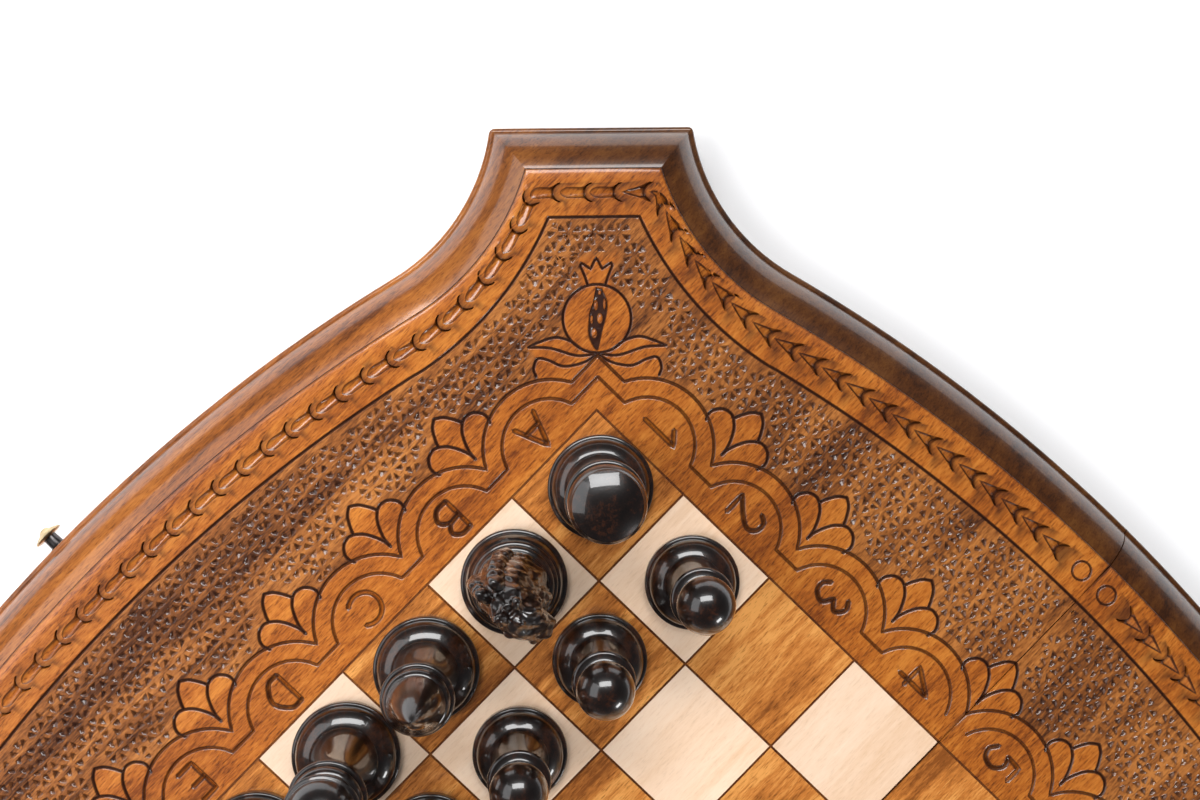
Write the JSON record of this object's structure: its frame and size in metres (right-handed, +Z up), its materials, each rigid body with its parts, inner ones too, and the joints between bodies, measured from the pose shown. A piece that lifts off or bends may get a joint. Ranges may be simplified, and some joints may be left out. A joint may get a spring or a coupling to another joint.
{
  "type": "carved folding chess set",
  "caption": "Folding wooden chess board with bowed, carved border and scalloped corners, a hook latch, inlaid squares and a full army of turned pieces on each side.",
  "frame": {"origin": "on the table, under the middle of the fold between the two halves", "axes": "+X along the fold from file A to file H, +Y along the ranks from 1 to 8, +Z up"},
  "size_m": [0.514, 0.5272, 0.128],
  "materials": {
    "stained_wood": "carved hardwood, warm brown stain under satin lacquer, grain along X",
    "honey_square_wood": "flush inlay, strongly figured honey brown, gloss lacquer",
    "pale_square_wood": "flush inlay, pale maple, gloss lacquer",
    "foot_wood": "dark turned wood",
    "dark_piece_wood": "turned wood, near-black brown, high-gloss lacquer",
    "pale_piece_wood": "turned wood, pale honey, high-gloss lacquer",
    "hinge_brass": "satin brass",
    "dark_metal": "darkened steel, worn satin; the peg's head is pale brass"
  },
  "bodies": {
    "half_a": {"carved_panel_a": "stained_wood", "light_squares_a": "pale_square_wood", "dark_squares_a": "honey_square_wood", "front_rail_a": "stained_wood", "left_rail_a": "stained_wood", "right_rail_a": "stained_wood", "corner_a1": "stained_wood", "corner_h1": "stained_wood", "spine_rail_a": "stained_wood", "feet_a": "foot_wood", "hinge_leaves_a": "hinge_brass", "hinge_pins": "hinge_brass", "hinge_screws_a": "hinge_brass", "latch_peg": "dark_metal"},
    "half_b": {"carved_panel_b": "stained_wood", "light_squares_b": "pale_square_wood", "dark_squares_b": "honey_square_wood", "front_rail_b": "stained_wood", "left_rail_b": "stained_wood", "right_rail_b": "stained_wood", "corner_h8": "stained_wood", "corner_a8": "stained_wood", "spine_rail_b": "stained_wood", "feet_b": "foot_wood", "hinge_leaves_b": "hinge_brass", "hinge_screws_b": "hinge_brass", "hook_screw": "dark_metal"},
    "hook": {"latch_hook": "dark_metal"},
    "dark_rook_a": {"dark_rook_a": "dark_piece_wood"},
    "dark_knight_b": {"dark_knight_b": "dark_piece_wood"},
    "dark_bishop_c": {"dark_bishop_c": "dark_piece_wood"},
    "dark_queen": {"dark_queen": "dark_piece_wood"},
    "dark_king": {"dark_king": "dark_piece_wood"},
    "dark_bishop_f": {"dark_bishop_f": "dark_piece_wood"},
    "dark_knight_g": {"dark_knight_g": "dark_piece_wood"},
    "dark_rook_h": {"dark_rook_h": "dark_piece_wood"},
    "dark_pawn_a": {"dark_pawn_a": "dark_piece_wood"},
    "dark_pawn_b": {"dark_pawn_b": "dark_piece_wood"},
    "dark_pawn_c": {"dark_pawn_c": "dark_piece_wood"},
    "dark_pawn_d": {"dark_pawn_d": "dark_piece_wood"},
    "dark_pawn_e": {"dark_pawn_e": "dark_piece_wood"},
    "dark_pawn_f": {"dark_pawn_f": "dark_piece_wood"},
    "dark_pawn_g": {"dark_pawn_g": "dark_piece_wood"},
    "dark_pawn_h": {"dark_pawn_h": "dark_piece_wood"},
    "light_rook_a": {"light_rook_a": "pale_piece_wood"},
    "light_knight_b": {"light_knight_b": "pale_piece_wood"},
    "light_bishop_c": {"light_bishop_c": "pale_piece_wood"},
    "light_queen": {"light_queen": "pale_piece_wood"},
    "light_king": {"light_king": "pale_piece_wood"},
    "light_bishop_f": {"light_bishop_f": "pale_piece_wood"},
    "light_knight_g": {"light_knight_g": "pale_piece_wood"},
    "light_rook_h": {"light_rook_h": "pale_piece_wood"},
    "light_pawn_a": {"light_pawn_a": "pale_piece_wood"},
    "light_pawn_b": {"light_pawn_b": "pale_piece_wood"},
    "light_pawn_c": {"light_pawn_c": "pale_piece_wood"},
    "light_pawn_d": {"light_pawn_d": "pale_piece_wood"},
    "light_pawn_e": {"light_pawn_e": "pale_piece_wood"},
    "light_pawn_f": {"light_pawn_f": "pale_piece_wood"},
    "light_pawn_g": {"light_pawn_g": "pale_piece_wood"},
    "light_pawn_h": {"light_pawn_h": "pale_piece_wood"}
  },
  "joints": [
    {"name": "fold", "type": "hinge", "parent": "half_a", "child": "half_b", "pos_m": [0, 0, 0.0023], "axis": [-1, 0, 0], "range_deg": [0, 180]},
    {"name": "hook_swing", "type": "hinge", "parent": "half_b", "child": "hook", "pos_m": [0, 0.2594, 0.0145], "axis": [0, 1, 0], "range_deg": [0, 90]},
    {"name": "lift_dark_rook_a", "type": "slide", "parent": "half_a", "child": "dark_rook_a", "axis": [0, 0, 1], "range_m": [0, 0.1]},
    {"name": "lift_dark_knight_b", "type": "slide", "parent": "half_a", "child": "dark_knight_b", "axis": [0, 0, 1], "range_m": [0, 0.1]},
    {"name": "lift_dark_bishop_c", "type": "slide", "parent": "half_a", "child": "dark_bishop_c", "axis": [0, 0, 1], "range_m": [0, 0.1]},
    {"name": "lift_dark_queen", "type": "slide", "parent": "half_a", "child": "dark_queen", "axis": [0, 0, 1], "range_m": [0, 0.1]},
    {"name": "lift_dark_king", "type": "slide", "parent": "half_a", "child": "dark_king", "axis": [0, 0, 1], "range_m": [0, 0.1]},
    {"name": "lift_dark_bishop_f", "type": "slide", "parent": "half_a", "child": "dark_bishop_f", "axis": [0, 0, 1], "range_m": [0, 0.1]},
    {"name": "lift_dark_knight_g", "type": "slide", "parent": "half_a", "child": "dark_knight_g", "axis": [0, 0, 1], "range_m": [0, 0.1]},
    {"name": "lift_dark_rook_h", "type": "slide", "parent": "half_a", "child": "dark_rook_h", "axis": [0, 0, 1], "range_m": [0, 0.1]},
    {"name": "lift_dark_pawn_a", "type": "slide", "parent": "half_a", "child": "dark_pawn_a", "axis": [0, 0, 1], "range_m": [0, 0.1]},
    {"name": "lift_dark_pawn_b", "type": "slide", "parent": "half_a", "child": "dark_pawn_b", "axis": [0, 0, 1], "range_m": [0, 0.1]},
    {"name": "lift_dark_pawn_c", "type": "slide", "parent": "half_a", "child": "dark_pawn_c", "axis": [0, 0, 1], "range_m": [0, 0.1]},
    {"name": "lift_dark_pawn_d", "type": "slide", "parent": "half_a", "child": "dark_pawn_d", "axis": [0, 0, 1], "range_m": [0, 0.1]},
    {"name": "lift_dark_pawn_e", "type": "slide", "parent": "half_a", "child": "dark_pawn_e", "axis": [0, 0, 1], "range_m": [0, 0.1]},
    {"name": "lift_dark_pawn_f", "type": "slide", "parent": "half_a", "child": "dark_pawn_f", "axis": [0, 0, 1], "range_m": [0, 0.1]},
    {"name": "lift_dark_pawn_g", "type": "slide", "parent": "half_a", "child": "dark_pawn_g", "axis": [0, 0, 1], "range_m": [0, 0.1]},
    {"name": "lift_dark_pawn_h", "type": "slide", "parent": "half_a", "child": "dark_pawn_h", "axis": [0, 0, 1], "range_m": [0, 0.1]},
    {"name": "lift_light_rook_a", "type": "slide", "parent": "half_b", "child": "light_rook_a", "axis": [0, 0, 1], "range_m": [0, 0.1]},
    {"name": "lift_light_knight_b", "type": "slide", "parent": "half_b", "child": "light_knight_b", "axis": [0, 0, 1], "range_m": [0, 0.1]},
    {"name": "lift_light_bishop_c", "type": "slide", "parent": "half_b", "child": "light_bishop_c", "axis": [0, 0, 1], "range_m": [0, 0.1]},
    {"name": "lift_light_queen", "type": "slide", "parent": "half_b", "child": "light_queen", "axis": [0, 0, 1], "range_m": [0, 0.1]},
    {"name": "lift_light_king", "type": "slide", "parent": "half_b", "child": "light_king", "axis": [0, 0, 1], "range_m": [0, 0.1]},
    {"name": "lift_light_bishop_f", "type": "slide", "parent": "half_b", "child": "light_bishop_f", "axis": [0, 0, 1], "range_m": [0, 0.1]},
    {"name": "lift_light_knight_g", "type": "slide", "parent": "half_b", "child": "light_knight_g", "axis": [0, 0, 1], "range_m": [0, 0.1]},
    {"name": "lift_light_rook_h", "type": "slide", "parent": "half_b", "child": "light_rook_h", "axis": [0, 0, 1], "range_m": [0, 0.1]},
    {"name": "lift_light_pawn_a", "type": "slide", "parent": "half_b", "child": "light_pawn_a", "axis": [0, 0, 1], "range_m": [0, 0.1]},
    {"name": "lift_light_pawn_b", "type": "slide", "parent": "half_b", "child": "light_pawn_b", "axis": [0, 0, 1], "range_m": [0, 0.1]},
    {"name": "lift_light_pawn_c", "type": "slide", "parent": "half_b", "child": "light_pawn_c", "axis": [0, 0, 1], "range_m": [0, 0.1]},
    {"name": "lift_light_pawn_d", "type": "slide", "parent": "half_b", "child": "light_pawn_d", "axis": [0, 0, 1], "range_m": [0, 0.1]},
    {"name": "lift_light_pawn_e", "type": "slide", "parent": "half_b", "child": "light_pawn_e", "axis": [0, 0, 1], "range_m": [0, 0.1]},
    {"name": "lift_light_pawn_f", "type": "slide", "parent": "half_b", "child": "light_pawn_f", "axis": [0, 0, 1], "range_m": [0, 0.1]},
    {"name": "lift_light_pawn_g", "type": "slide", "parent": "half_b", "child": "light_pawn_g", "axis": [0, 0, 1], "range_m": [0, 0.1]},
    {"name": "lift_light_pawn_h", "type": "slide", "parent": "half_b", "child": "light_pawn_h", "axis": [0, 0, 1], "range_m": [0, 0.1]}
  ]
}
